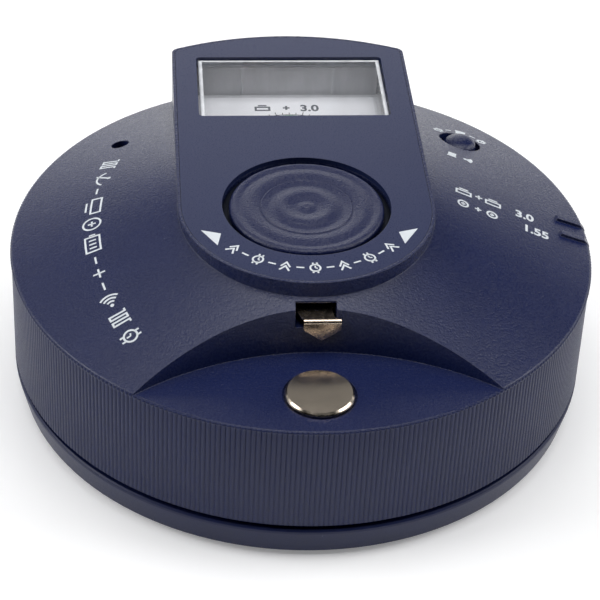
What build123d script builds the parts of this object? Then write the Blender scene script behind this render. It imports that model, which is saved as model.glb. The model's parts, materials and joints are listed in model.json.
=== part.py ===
from build123d import *
from math import sqrt
import os

# Bench tester for quartz watches and coin cells: a round case with a ribbed wall, a conical deck,
# a raised platform with a sensing pad and a moving-coil meter, and a scooped step at the front
# where a cell is laid on a contact disc under a sprung arm.
# Millimetres. Origin at the centre of the case, on the plane the feet stand on. +Z is up, the
# contact step faces -Y, and the test button is on the +X side.

# ---- driving dimensions: case ----
FOOT_H = 0.8                      # how far the rubber feet hold the base off the bench
BASE_Z = FOOT_H                   # underside of the base tray
RIM_R = 52.0                      # radius of the deck's edge
WALL_TOP_Z = 28.0                 # where the wall turns into the deck
BASE_R_LOW = 51.2                 # base ring, at the bottom
BASE_R_TOP = 52.25                # base ring, at its widest
BASE_RING_TOP = 6.8              # top of the visible base ring
CASE_BOTTOM = 7.75                # lower edge of the top case, above a thin shadow gap
GAP_DEPTH = 1.8                   # how far the shadow gap is sunk from the deck's radius
RIB_ROOT_LOW = 51.95              # wall radius between the grip ribs, at the bottom
RIB_ROOT_TOP = 51.7               # wall radius between the grip ribs, at the top
RIB_TOP_Z = 27.9                  # the ribs end here, just below the deck's edge
SHELL = 2.2                       # wall thickness of the top case
CASE_INNER_R = RIM_R - 2.5        # inside radius of the wall

# ---- deck and platform ----
DECK_SLOPE = 0.372                # rise of the deck per mm towards the centre
DECK_REF_R = 51.5
DECK_REF_Z = WALL_TOP_Z + 0.9     # deck height at DECK_REF_R
PLAT_TOP = 40.5                   # top plane of the platform
PLAT_HALF_W = 22.5                # half width of the platform
PLAT_BACK_R = RIM_R - 0.1         # the platform's back follows the case wall
WELL_Y = -5.7                     # centre of the sensing well, and of the platform's round front
WELL_R = 14.8
PAD_R = 13.6
FASCIA_T = 1.0                    # satin plate let into the platform top
FASCIA_INSET = 0.55
PLAT_UNDER = PLAT_TOP - FASCIA_T - 1.2   # underside of the platform roof
WELL_FLOOR = 38.6                 # top of the ledge that carries the pad
LEDGE_T = 1.0
WINDOW = (-17.9, 17.9, 23.1, 43.9)       # meter window: x0, x1, y0, y1

# ---- contact step ----
SCOOP_FLOOR = 28.5
SCOOP_ARC_Y = -81.5               # axis of the step's curved back wall
SCOOP_ARC_R = 49.85               # its radius at floor level
SCOOP_LEAN = 0.15                 # the wall leans back this much per mm of height
SCOOP_SKIN = 2.0                  # thickness of the floor and the back wall
DISC_Y = -42.7
DISC_R = 5.84
DISC_PROUD = 0.8
SLOT_HALF_W = 3.45                # slot that the contact arm comes out of
SLOT_FLOOR = 33.3
SLOT_REAR_Y = -28.9

# ---- contact arm ----
ARM_TOP = 35.2                    # top face of the arm's flat strip
ARM_T = 0.4
ARM_HEAD_X = (-2.1, 4.2)          # sides of the flap
ARM_BEND_Y = -31.3                # where the strip turns down
ARM_SHOULDER_Z = 33.35            # the flap narrows to a point below this
ARM_TIP_Z = 31.1
PIVOT_Y = -8.0                    # hinge of the strip in its slider
PIVOT_Z = ARM_TOP - ARM_T / 2
ARM_PIN_R = 0.6
GUIDE_FRONT = -24.8               # the channel that the slider runs in
GUIDE_REAR = -2.0

# ---- controls ----
BUTTON_XY = (31.7, 25.5)
BUTTON_HOLE_R = 4.0
BUTTON_R = 3.1
BUTTON_PROUD = 0.7                # height of the cap over the deck at the hole's centre
BUTTON_TRAVEL = 0.5
PORT_XY = (-32.6, 25.6)           # sound port over the buzzer
KNOB_Y = -1.4                     # selector at the 1.55 V mark
KNOB_TRAVEL = 4.7                 # to the 3.0 V mark
KNOB_Z = 20.4
MARK_Y = (-1.5, 3.3)              # raised marks on the rim beside the two selector positions

# ---- board, battery and door ----
BOARD_Z = 22.2
BOARD_T = 1.6
BOARD_TOP = BOARD_Z + BOARD_T
BOARD_R = 45.0
FLOOR_T = 2.0                     # base plate thickness
FLOOR_TOP = BASE_Z + FLOOR_T
CASE_SCREWS = [(x, y) for x in (-24.1, 24.1) for y in (-38.6, 38.6)]
BOARD_POSTS = [(x, y) for x in (-36.5, 36.5) for y in (-16.0, 13.0)]
FEET = [(x, y) for x in (-30.0, 30.0) for y in (-30.0, 30.0)]
DOOR_HALF_W = 29.0
DOOR_FRONT = -22.6
HINGE_Y = 9.3
HINGE_Z = 2.6
KNUCKLE_R = 1.8
HINGE_PIN_R = 0.75
CELL_X0 = -20.4                   # 9 V battery, lying on its side
CELL_L = 46.4
CELL_W = 26.5
CELL_H = 17.5
CELL_Y = -7.0
CELL_Z = 3.0

# ---- meter ----
METER_Y0 = 14.8
METER_Y1 = 45.2
METER_HALF_W = 19.2
METER_Z0 = 19.0
METER_Z1 = 31.2
DIAL_T = 0.5
DIAL_TOP = 32.0
PIVOT = (0.0, 25.5)               # axis of the moving coil
NEEDLE_REST = 42.0                # degrees left of straight back
NEEDLE_L = 12.6
NEEDLE_Z = DIAL_TOP + 0.5          # underside of the needle


def block(x0, x1, y0, y1, z0, z1):
    return Pos((x0 + x1) / 2, (y0 + y1) / 2, (z0 + z1) / 2) * Box(x1 - x0, y1 - y0, z1 - z0)


def rod(x, y, r, z0, z1):
    return Pos(x, y, (z0 + z1) / 2) * Cylinder(r, z1 - z0)


def rod_x(y, z, r, x0, x1):
    return Pos((x0 + x1) / 2, y, z) * Rot(0, 90, 0) * Cylinder(r, x1 - x0)


def rod_y(x, z, r, y0, y1):
    return Pos(x, (y0 + y1) / 2, z) * Rot(90, 0, 0) * Cylinder(r, y1 - y0)


def tube(x, y, r_out, r_in, z0, z1):
    return rod(x, y, r_out, z0, z1) - rod(x, y, r_in, z0 - 1, z1 + 1)


def lathe(profile, x=0.0, y=0.0):
    """Solid of revolution about a vertical line, from (radius, height) points."""
    face = make_face(Polyline([(r, 0, z) for r, z in profile], close=True))
    return Pos(x, y, 0) * revolve(face, Axis.Z)


def slab(points, z0, z1):
    """Flat plate with the outline given by (x, y) points."""
    return extrude(Pos(0, 0, z0) * make_face(Polyline(points, close=True)), z1 - z0, dir=(0, 0, 1))


def joined(solids):
    whole = solids[0]
    for solid in solids[1:]:
        whole = whole + solid
    return whole


def wire(points, radius, wire_r):
    """Round lead along straight runs joined by arcs."""
    path = FilletPolyline(*points, radius=radius)
    start = Plane(origin=path @ 0, z_dir=path % 0)
    return sweep(start * Circle(wire_r), path=path)


def deck_z(r):
    return DECK_REF_Z + (DECK_REF_R - r) * DECK_SLOPE


def platform_outline(inset):
    """Straight sides, a half-round front about the well and a back that follows the case."""
    half = PLAT_HALF_W - inset
    back = PLAT_BACK_R - inset
    straight = 2 * back
    shape = Pos(0, WELL_Y) * Circle(half)
    shape = shape + Pos(0, WELL_Y + straight / 2) * Rectangle(2 * half, straight)
    shape = shape & Circle(back)
    corners = shape.vertices().filter_by(lambda v: v.Y > 30)
    return fillet(corners, 1.8)


def platform_prism(inset, z0, z1):
    return extrude(Pos(0, 0, z0) * platform_outline(inset), z1 - z0, dir=(0, 0, 1))


def scoop(skin, extra_depth=0.0):
    """Space over the contact step, grown by skin: a leaning round wall over a flat floor."""
    height = 16.0
    drop = skin + extra_depth
    low = SCOOP_ARC_R + skin - SCOOP_LEAN * extra_depth
    cone = Cone(low, low + SCOOP_LEAN * height, height, align=(Align.CENTER, Align.CENTER, Align.MIN))
    return Pos(0, SCOOP_ARC_Y, SCOOP_FLOOR - drop) * cone


def deck_body(drop, r_wall):
    """Solid under the deck surface, lowered by drop, out to the radius r_wall."""
    flat_r = DECK_REF_R - (PLAT_TOP - 0.4 - DECK_REF_Z) / DECK_SLOPE
    bottom = CASE_BOTTOM - 1
    points = [(0, bottom), (r_wall, bottom), (r_wall, deck_z(r_wall) - drop)]
    points += [(flat_r, deck_z(flat_r) - drop), (0, deck_z(flat_r) - drop)]
    return lathe(points)


def case_outside():
    """Outer form of the top case: rib band, narrow edge band, rounded rim and conical deck."""
    flat_r = DECK_REF_R - (PLAT_TOP - 0.4 - DECK_REF_Z) / DECK_SLOPE
    points = [(0, CASE_BOTTOM), (RIB_ROOT_LOW, CASE_BOTTOM), (RIB_ROOT_TOP, RIB_TOP_Z)]
    points += [(RIM_R, RIB_TOP_Z + 0.2), (RIM_R, deck_z(RIM_R))]
    points += [(flat_r, deck_z(flat_r)), (0, deck_z(flat_r))]
    body = lathe(points)
    rim = body.edges().filter_by(GeomType.CIRCLE).sort_by(lambda e: abs(e.center().Z - deck_z(RIM_R)))[0]
    return fillet(rim, 0.35)


def rim_mark(y):
    """Low bead over the rim beside one selector position."""
    half = 0.6
    x_in = 46.3
    x_out = BASE_R_TOP
    points = [(x_in, deck_z(x_in) - 0.4), (x_in + 0.7, deck_z(x_in + 0.7) + 0.55)]
    points += [(RIM_R - 0.6, deck_z(RIM_R - 0.6) + 0.5), (x_out, WALL_TOP_Z + 0.35)]
    points += [(x_out, WALL_TOP_Z - 0.3), (RIM_R - 1.2, WALL_TOP_Z - 0.6), (RIM_R - 1.2, WALL_TOP_Z - 0.2)]
    face = make_face(Polyline([(x, y - half, z) for x, z in points], close=True))
    return extrude(face, 2 * half, dir=(0, 1, 0))


def knob_window():
    """Opening in the wall for the selector knob."""
    return block(48.0, 54.0, KNOB_Y - 2.8, KNOB_Y + KNOB_TRAVEL + 2.8, KNOB_Z - 2.3, KNOB_Z + 2.3)


def step_floor():
    """Floor of the contact step, a disc with a rounded front lip, a hair inside the case wall."""
    r = RIM_R - 0.02
    root = RIB_ROOT_TOP - 0.02
    low = SCOOP_FLOOR - 1.1
    floor = lathe([(0, low), (root, low), (root, RIB_TOP_Z + 0.05), (r, RIB_TOP_Z + 0.25),
                   (r, SCOOP_FLOOR), (0, SCOOP_FLOOR)])
    lip = floor.edges().filter_by(GeomType.CIRCLE).sort_by(lambda e: e.center().Z)[-1]
    return fillet(lip, 0.3)


def top_case():
    outside = case_outside() + platform_prism(0, WALL_TOP_Z, PLAT_TOP)
    for y in MARK_Y:
        outside = outside + rim_mark(y)
    outside = outside - scoop(0, extra_depth=1.0) + step_floor()
    inside = deck_body(SHELL * 1.07, CASE_INNER_R) & rod(0, 0, 60, 0, PLAT_UNDER)
    inside = inside + platform_prism(SHELL, WALL_TOP_Z - 2, PLAT_UNDER)
    inside = inside - rod(0, WELL_Y, WELL_R + 1.5, WELL_FLOOR - LEDGE_T, PLAT_TOP)
    inside = inside - scoop(SCOOP_SKIN)
    case = outside - inside
    # screw bosses, and two short posts for the arm guide
    for x, y in CASE_SCREWS:
        case = case + (rod(x, y, 3.0, 9.0, 34.0) & case_inner_limit())
        case = case - rod(x, y, 1.25, 8.0, 20.0)
    for x in (-9.0, 9.0):
        case = case + rod(x, -16.0, 2.2, 34.2, WELL_FLOOR - LEDGE_T + 0.2)
        case = case - rod(x, -16.0, 0.9, 33.0, 37.0)
    # openings in the roof
    case = case - platform_prism(FASCIA_INSET, PLAT_TOP - FASCIA_T, PLAT_TOP + 2)
    case = case - window_prism(PLAT_UNDER - 2, PLAT_TOP)
    case = case - rod(0, WELL_Y, WELL_R, WELL_FLOOR, PLAT_TOP + 1)
    case = case - rod(0, WELL_Y, 10.5, WELL_FLOOR - 3, WELL_FLOOR + 1)
    # slot for the arm, open at the top in front of the platform
    case = case - block(-SLOT_HALF_W, SLOT_HALF_W, -34, SLOT_REAR_Y, SLOT_FLOOR, PLAT_TOP)
    case = case - block(-SLOT_HALF_W, SLOT_HALF_W, SLOT_REAR_Y - 1, -22, SLOT_FLOOR, 36.9)
    # seat and hole for the contact disc
    case = case - rod(0, DISC_Y, DISC_R + 0.3, SCOOP_FLOOR - 0.5, SCOOP_FLOOR + 2)
    case = case - rod(0, DISC_Y, 1.55, 20, SCOOP_FLOOR)
    # button hole, sound port and selector window
    case = case - rod(*BUTTON_XY, BUTTON_HOLE_R, 24, 40)
    case = case - rod(*PORT_XY, 1.65, 24, 40)
    case = case - knob_window()
    return case


def case_inner_limit():
    """Volume that anything moulded inside the case has to stay in."""
    return deck_body(1.0, CASE_INNER_R + 1) - scoop(1.0)


def window_prism(z0, z1):
    x0, x1, y0, y1 = WINDOW
    outline = Pos((x0 + x1) / 2, (y0 + y1) / 2) * RectangleRounded(x1 - x0, y1 - y0, 0.8)
    return extrude(Pos(0, 0, z0) * outline, z1 - z0, dir=(0, 0, 1))


def fascia():
    plate = platform_prism(FASCIA_INSET + 0.06, PLAT_TOP - FASCIA_T, PLAT_TOP)
    plate = plate - window_prism(PLAT_TOP - 2, PLAT_TOP + 1)
    return plate - rod(0, WELL_Y, WELL_R, PLAT_TOP - 2, PLAT_TOP + 1)


def sensor_pad():
    """Stiff rubber pad with a low ring and a dimple that a watch case beds on."""
    low = 39.1
    top = PLAT_TOP - 0.1
    edge = [(0, low), (PAD_R - 0.3, low), (PAD_R, low + 0.3), (PAD_R, top - 0.5), (PAD_R - 0.5, top)]
    rings = [(8.6, top), (8.2, top - 0.35), (7.8, top), (1.6, top), (0.8, top - 0.3), (0, top - 0.3)]
    return lathe(edge + rings, 0, WELL_Y)


def pad_foam_ring():
    return tube(0, WELL_Y, 13.2, 11.0, WELL_FLOOR, 39.1)


def base_tray():
    tray = lathe([(0, BASE_Z), (BASE_R_LOW - 0.5, BASE_Z), (BASE_R_LOW, BASE_Z + 0.5),
                  (BASE_R_TOP, BASE_RING_TOP - 0.8), (BASE_R_TOP, BASE_RING_TOP - 0.3),
                  (BASE_R_TOP - 0.3, BASE_RING_TOP), (RIM_R - GAP_DEPTH, BASE_RING_TOP),
                  (RIM_R - GAP_DEPTH, CASE_BOTTOM), (CASE_INNER_R - 0.08, CASE_BOTTOM),
                  (CASE_INNER_R - 0.08, 11.0), (CASE_INNER_R - 1.8, 11.0),
                  (CASE_INNER_R - 1.8, FLOOR_TOP), (0, FLOOR_TOP)])
    # clearance in the spigot for the case's own screw bosses
    for x, y in CASE_SCREWS:
        tray = tray - rod(x, y, 3.3, 9.0, 12.0)
        tray = tray + rod(x, y, 3.9, FLOOR_TOP - 0.5, 9.0)
        tray = tray - rod(x, y, 3.3, 0, 4.2)
        tray = tray - rod(x, y, 1.7, 0, 10)
    for x, y in BOARD_POSTS:
        tray = tray + rod(x, y, 3.0, FLOOR_TOP - 0.5, BOARD_Z)
        tray = tray - rod(x, y, 1.1, 13.0, BOARD_Z + 1)
    for x in (-12.0, 12.0):
        tray = tray + rod(x, 30.0, 3.0, FLOOR_TOP - 0.5, METER_Z0)
    for x, y in FEET:
        tray = tray - rod(x, y, 4.35, 0, FOOT_H + 0.8)
    # battery compartment walls and hinge lugs around the door opening
    wall_top = 12.0
    tray = tray + block(-31.2, 31.2, -24.4, -23.2, FLOOR_TOP - 0.5, wall_top)
    tray = tray + block(-31.2, 31.2, 11.9, 13.1, FLOOR_TOP - 0.5, wall_top)
    for side in (-1, 1):
        tray = tray + block(*sorted((side * 30.0, side * 31.2)), -24.4, 13.1, FLOOR_TOP - 0.5, wall_top)
        lug = block(*sorted((side * (DOOR_HALF_W + 0.3), side * 32.0)), HINGE_Y - 1.8, HINGE_Y + 1.8,
                    FLOOR_TOP - 0.5, 5.2)
        tray = tray + lug
    tray = tray - block(-DOOR_HALF_W - 0.3, DOOR_HALF_W + 0.3, DOOR_FRONT - 0.3, HINGE_Y + 2.1,
                        0, FLOOR_TOP + 0.01)
    tray = tray - rod_x(HINGE_Y, HINGE_Z, HINGE_PIN_R, -32.2, 32.2)
    # finger notch in front of the door
    return tray - (rod(0, DOOR_FRONT - 0.3, 7.0, 0, BASE_Z + 0.9) & block(-8, 8, -32, DOOR_FRONT, 0, 3))


def battery_door():
    door = block(-DOOR_HALF_W, DOOR_HALF_W, DOOR_FRONT, HINGE_Y, BASE_Z, FLOOR_TOP)
    door = door + rod_x(HINGE_Y, HINGE_Z, KNUCKLE_R, -DOOR_HALF_W, DOOR_HALF_W)
    door = door + block(-5, 5, DOOR_FRONT + 0.2, DOOR_FRONT + 1.4, FLOOR_TOP - 0.5, 6.0)
    door = door + block(-4, 4, DOOR_FRONT - 0.1, DOOR_FRONT + 0.5, 4.4, 5.0)
    for i in range(5):
        y = DOOR_FRONT + 3.0 + 1.6 * i
        door = door - block(-9, 9, y, y + 0.7, BASE_Z - 1, BASE_Z + 0.35)
    return door - rod_x(HINGE_Y, HINGE_Z, HINGE_PIN_R + 0.05, -DOOR_HALF_W - 1, DOOR_HALF_W + 1)


def door_pin():
    return rod_x(HINGE_Y, HINGE_Z, HINGE_PIN_R, -32.0, 32.0)


def rubber_feet():
    foot = [(0, 0), (3.6, 0), (4.1, 0.5), (4.25, 1.6), (0, 1.6)]
    return joined([lathe(foot, x, y) for x, y in FEET])


def screw(x, y, head_z, head_r, head_h, shank_r, end_z):
    """Self-tapping screw driven upwards, with a cross recess in its head."""
    body = rod(x, y, head_r, head_z, head_z + head_h) + rod(x, y, shank_r, head_z, end_z)
    cross = block(x - 0.25, x + 0.25, y - 1.1, y + 1.1, head_z - 1, head_z + 0.8)
    cross = cross + block(x - 1.1, x + 1.1, y - 0.25, y + 0.25, head_z - 1, head_z + 0.8)
    return body - cross


def case_screws():
    return joined([screw(x, y, 2.2, 2.7, 2.0, 1.25, 18.0) for x, y in CASE_SCREWS])


def guide_screws():
    return joined([screw(x, -16.0, 31.5, 1.8, 1.2, 0.9, 36.5) for x in (-9.0, 9.0)])


def board_screws():
    """Pan-head screws driven down through the board into the tray's posts."""
    screws = []
    for x, y in BOARD_POSTS:
        body = rod(x, y, 2.2, BOARD_TOP, BOARD_TOP + 1.5) + rod(x, y, 1.1, 15.0, BOARD_TOP + 1)
        body = body - block(x - 1.3, x + 1.3, y - 0.25, y + 0.25, BOARD_TOP + 0.8, BOARD_TOP + 3)
        screws.append(body)
    return joined(screws)


def contact_disc():
    top = SCOOP_FLOOR + DISC_PROUD
    low = SCOOP_FLOOR - 0.5
    head = [(0, low), (DISC_R, low), (DISC_R, top - 0.5), (DISC_R - 0.12, top - 0.25),
            (DISC_R - 0.45, top), (0, top)]
    return lathe(head, 0, DISC_Y) + rod(0, DISC_Y, 1.5, 22.8, low + 0.2)


def disc_washer():
    return tube(0, DISC_Y, 3.4, 1.55, SCOOP_FLOOR - SCOOP_SKIN - 0.6, SCOOP_FLOOR - SCOOP_SKIN)


def disc_nut():
    top = SCOOP_FLOOR - SCOOP_SKIN - 0.6
    nut = extrude(Pos(0, DISC_Y, top - 2.2) * RegularPolygon(3.1, 6), 2.2, dir=(0, 0, 1))
    return nut - rod(0, DISC_Y, 1.5, 20, 30)


def arm_guide():
    """Channel screwed under the platform, with lips that keep the slider in."""
    z0 = 32.7
    floor = SLOT_FLOOR
    guide = block(-6.0, 6.0, GUIDE_FRONT, GUIDE_REAR, z0, floor)
    for side in (-1, 1):
        guide = guide + block(*sorted((side * 4.7, side * 6.0)), GUIDE_FRONT, GUIDE_REAR, floor - 0.1, 36.6)
        guide = guide + block(*sorted((side * 4.0, side * 6.0)), GUIDE_FRONT, GUIDE_REAR, 36.0, 36.6)
        guide = guide + block(*sorted((side * 5.9, side * 11.4)), -18.6, -13.4, z0, 34.2)
        guide = guide - rod(side * 9.0, -16.0, 0.95, z0 - 1, 35.0)
    return guide + block(-6.0, 6.0, GUIDE_REAR - 1.0, GUIDE_REAR, z0, 35.0)


def arm_slider():
    """Block that runs in the guide; two cheeks carry the arm's pin."""
    y0 = PIVOT_Y - 4.0
    y1 = PIVOT_Y + 4.0
    body = block(-4.6, 4.6, y0, y1, SLOT_FLOOR + 0.05, 35.9)
    body = body - block(-3.4, 3.2, y0 - 1, PIVOT_Y + 2.0, SLOT_FLOOR + 0.25, 37)
    return body - rod_x(PIVOT_Y, PIVOT_Z, ARM_PIN_R, -5, 5)


def arm_pin():
    return rod_x(PIVOT_Y, PIVOT_Z, ARM_PIN_R, -4.6, 4.6)


def contact_arm():
    """Nickel-plated strip: rolled eye at the back, a sideways step, and a pointed tip turned down."""
    strip_low = ARM_TOP - ARM_T
    x0, x1 = ARM_HEAD_X
    tip_x = (x0 + x1) / 2
    outline = [(x0, ARM_BEND_Y - 0.1), (x1, ARM_BEND_Y - 0.1), (x1, ARM_BEND_Y + 0.1),
               (3.15, ARM_BEND_Y + 0.75), (2.85, ARM_BEND_Y + 2.2), (2.85, PIVOT_Y),
               (-3.1, PIVOT_Y), (-3.1, ARM_BEND_Y + 2.2), (-2.6, ARM_BEND_Y + 0.9),
               (x0, ARM_BEND_Y + 0.5)]
    strip = slab(outline, strip_low, ARM_TOP)
    eye = rod_x(PIVOT_Y, PIVOT_Z, 1.15, -3.1, 2.85)
    flap_points = [(x0, ARM_TOP), (x1, ARM_TOP), (x1, ARM_SHOULDER_Z), (tip_x, ARM_TIP_Z), (x0, ARM_SHOULDER_Z)]
    flap_y = ARM_BEND_Y - 0.1
    flap = extrude(make_face(Polyline([(x, flap_y, z) for x, z in flap_points], close=True)),
                   ARM_T, dir=(0, -1, 0))
    arm = strip + eye + flap
    inner = arm.edges().filter_by(Axis.X).filter_by(
        lambda e: abs(e.center().Z - strip_low) < 0.01 and abs(e.center().Y - flap_y) < 0.01)
    arm = fillet(inner, 0.3)
    outer = arm.edges().filter_by(Axis.X).filter_by(
        lambda e: e.center().Z > ARM_TOP - 0.01 and e.center().Y < ARM_BEND_Y - 0.3)
    arm = fillet(outer, 0.65)
    return arm - rod_x(PIVOT_Y, PIVOT_Z, ARM_PIN_R + 0.05, -6, 6)


def test_button():
    """Domed cap with a stem that stands on the switch plunger."""
    x, y = BUTTON_XY
    top = deck_z(sqrt(x * x + y * y)) + BUTTON_PROUD
    cap = [(0, 28.5), (BUTTON_R, 28.5), (BUTTON_R, top - 1.4), (BUTTON_R - 0.3, top - 0.8),
           (BUTTON_R - 1.2, top - 0.2), (0, top)]
    stem = rod(x, y, 1.6, 28.2, 29.0)
    flange = rod(x, y, 4.5, 28.25, 28.75)
    return lathe(cap, x, y) + stem + flange


def tact_plunger():
    return rod(*BUTTON_XY, 1.5, 26.6, 28.2)


def tact_switch():
    x, y = BUTTON_XY
    body = block(x - 3, x + 3, y - 3, y + 3, BOARD_TOP, 27.2)
    for dx in (-3.3, 3.3):
        for dy in (-2.2, 2.2):
            body = body + block(*sorted((x + dx, x + dx * 0.9)), y + dy - 0.35, y + dy + 0.35,
                                BOARD_TOP, BOARD_TOP + 1.6)
    return body - rod(x, y, 1.55, 25.8, 28)


def selector_switch():
    """Slide switch hung under the board's edge, open on the side of its lever."""
    body = block(37.5, 43.5, -5.2, 7.1, 18.6, BOARD_Z)
    return body - block(39.5, 44.0, KNOB_Y - 1.6, KNOB_Y + KNOB_TRAVEL + 1.6, 19.2, 21.6)


def selector_knob():
    """Lever, blanking plate behind the wall, and the ribbed knob in the window."""
    lever = block(40.0, 48.0, KNOB_Y - 1.3, KNOB_Y + 1.3, 19.5, 21.3)
    plate = block(47.2, 48.0, KNOB_Y - 7.2, KNOB_Y + 7.2, KNOB_Z - 2.6, KNOB_Z + 2.6)
    knob = block(47.9, 51.6, KNOB_Y - 2.4, KNOB_Y + 2.4, KNOB_Z - 1.9, KNOB_Z + 1.9)
    for i in range(4):
        y = KNOB_Y - 1.8 + 1.0 * i
        knob = knob - block(51.2, 52.0, y, y + 0.5, KNOB_Z - 2, KNOB_Z + 2)
    return lever + plate + knob


def buzzer_case():
    x, y = -29.5, 23.2
    return rod(x, y, 6.0, BOARD_TOP, 29.2) - rod(x, y, 5.3, BOARD_TOP + 0.6, 28.4) - rod(x, y, 1.2, 27, 30)


def piezo_disc():
    return rod(-29.5, 23.2, 5.3, 26.0, 26.3)


def main_board():
    board = rod(0, 0, BOARD_R, BOARD_Z, BOARD_TOP)
    board = board - block(-60, 60, -60, -30, 20, 26)
    board = board - block(-21.5, 21.5, METER_Y0 - 1.5, 60, 20, 26)
    for x, y in CASE_SCREWS:
        board = board - rod(x, y, 3.6, 20, 26)
    for x, y in BOARD_POSTS:
        board = board - rod(x, y, 1.3, 20, 26)
    return board


def ic_chip():
    body = block(-27.2, -20.8, -18.0, 1.0, BOARD_TOP + 0.5, BOARD_TOP + 3.8)
    body = body - rod(-24.0, 1.0, 1.0, BOARD_TOP + 3.3, BOARD_TOP + 5)
    for i in range(7):
        y = -16.1 + 2.54 * i
        for x0, x1 in ((-28.0, -27.0), (-21.0, -20.0)):
            body = body + block(x0, x1, y - 0.3, y + 0.3, BOARD_TOP + 1.6, BOARD_TOP + 2.0)
        body = body + block(-28.0, -27.6, y - 0.3, y + 0.3, BOARD_TOP, BOARD_TOP + 2.0)
        body = body + block(-20.4, -20.0, y - 0.3, y + 0.3, BOARD_TOP, BOARD_TOP + 2.0)
    return body


def resistors():
    parts = []
    for i in range(6):
        y = -24.0 + 3.0 * i
        body = rod_x(y, BOARD_TOP + 1.3, 1.1, 18.0, 24.0) + rod_x(y, BOARD_TOP + 1.3, 0.3, 16.0, 26.0)
        for x in (16.0, 26.0):
            body = body + rod(x, y, 0.3, BOARD_TOP, BOARD_TOP + 1.3)
        parts.append(body)
    return joined(parts)


def capacitors():
    places = [(-33.5, -4.0), (-33.5, 4.0), (30.0, -24.0)]
    return joined([rod(x, y, 2.5, BOARD_TOP, BOARD_TOP + 6.0) - tube(x, y, 3.5, 2.3, 28.6, 28.9)
                   for x, y in places])


def trimmer():
    x, y = 30.0, 2.0
    body = block(x - 3.25, x + 3.25, y - 3.25, y + 3.25, BOARD_TOP, BOARD_TOP + 3.6)
    body = body + rod(x, y, 2.0, BOARD_TOP + 3, BOARD_TOP + 4.4)
    return body - block(x - 1.9, x + 1.9, y - 0.25, y + 0.25, BOARD_TOP + 3.9, BOARD_TOP + 6)


def transistor():
    body = rod(-12.0, -24.0, 2.4, BOARD_TOP + 2.0, BOARD_TOP + 6.6) - block(-16, -8, -29, -25.4, 20, 40)
    for dx in (-1.27, 0, 1.27):
        body = body + block(-12.2 + dx, -11.8 + dx, -24.2, -23.8, BOARD_TOP, BOARD_TOP + 2.1)
    return body


def coil_bobbin():
    low = BOARD_TOP
    return lathe([(3.05, low), (11.0, low), (11.0, low + 1.0), (4.5, low + 1.0), (4.5, 31.2),
                  (11.0, 31.2), (11.0, 32.2), (3.05, 32.2)], 0, WELL_Y)


def coil_winding():
    return tube(0, WELL_Y, 10.0, 4.5, BOARD_TOP + 1.0, 31.2)


def ferrite_core():
    return rod(0, WELL_Y, 3.0, BOARD_TOP, 32.3)


def meter_body():
    """Moulded tray of the meter, with a grey rear screen that stands up behind the clear cover."""
    wall = 1.2
    body = block(-METER_HALF_W, METER_HALF_W, METER_Y0, METER_Y1, METER_Z0, METER_Z1)
    body = body - block(-METER_HALF_W + wall, METER_HALF_W - wall, METER_Y0 + wall, METER_Y1 - wall,
                        METER_Z0 + wall, METER_Z1 + 1)
    body = body + block(-17.6, 17.6, 43.95, METER_Y1 - 0.1, METER_Z1 - 1, 38.1)
    for x in (-8.9, 8.9):
        body = body + block(x - 0.4, x + 0.4, 43.68, 44.2, METER_Z1 + 0.9, 38.1)
    body = body + rod(*PIVOT, 2.2, METER_Z0, 20.6)
    for side in (-1, 1):
        body = body + block(*sorted((side * 9.4, side * 18.2)), 30.4, 31.8, METER_Z0 + 1, METER_Z1)
    return body - rod(*PIVOT, 0.9, METER_Z0 + 0.6, 22)


def scale_plate():
    plate = block(-17.9, 17.9, 30.6, 43.8, DIAL_TOP - DIAL_T, DIAL_TOP)
    plate = plate - rod(*PIVOT, 8.6, METER_Z1, DIAL_TOP + 1)
    for side in (-1, 1):
        plate = plate + block(*sorted((side * 12.0, side * 15.0)), 30.6, 31.6, METER_Z1, DIAL_TOP)
    return plate


def meter_cover():
    """Clear cover: a low front part under the platform roof and a raised block in the window."""
    wall = 0.8
    low = DIAL_TOP
    front = block(-17.6, 17.6, 17.0, 43.6, low, 38.0)
    raised = block(-17.6, 17.6, 23.4, 43.6, 37, 40.1)
    hollow = block(-17.6 + wall, 17.6 - wall, 17.0 + wall, 43.6 - wall, low - 1, 38.0 - wall)
    hollow = hollow + block(-17.6 + wall, 17.6 - wall, 23.4 + wall, 43.6 - wall, 36, 40.1 - wall)
    cover = front + raised
    top = cover.edges().filter_by(lambda e: e.center().Z > 40.0)
    return fillet(top, 0.35) - hollow


def meter_magnet():
    """Ring magnet with flat lands for the bridge, standing in the meter tray."""
    return tube(*PIVOT, 9.2, 6.0, METER_Z0 + 1.2, 28.5)


def meter_core():
    """Soft-iron core held in the ring by one cross pin."""
    x, y = PIVOT
    return rod(x, y, 4.0, 22.2, 27.8) + rod_y(x, 25.0, 0.8, y - 5.94, y + 5.94)


def meter_bridge():
    x, y = PIVOT
    bridge = block(x - 8.8, x + 8.8, y - 1.5, y + 1.5, 33.6, 34.6)
    for side in (-1, 1):
        bridge = bridge + block(*sorted((x + side * 7.4, x + side * 8.8)), y - 1.5, y + 1.5, 28.5, 34.0)
    return bridge - rod(x, y, 0.8, 33, 35)


def pivot_jewels():
    """Two jewel screws, each with a blind hole that a spindle end turns in."""
    low = rod(*PIVOT, 0.9, 19.8, 21.2) - rod(*PIVOT, 0.45, 20.6, 22)
    high = rod(*PIVOT, 0.8, 33.0, 35.2) - rod(*PIVOT, 0.45, 32, 33.8)
    return joined([low, high])


def turned(solid, angle):
    """Turn a solid about the meter pivot."""
    x, y = PIVOT
    return Pos(x, y, 0) * Rot(0, 0, angle) * Pos(-x, -y, 0) * solid


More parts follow.
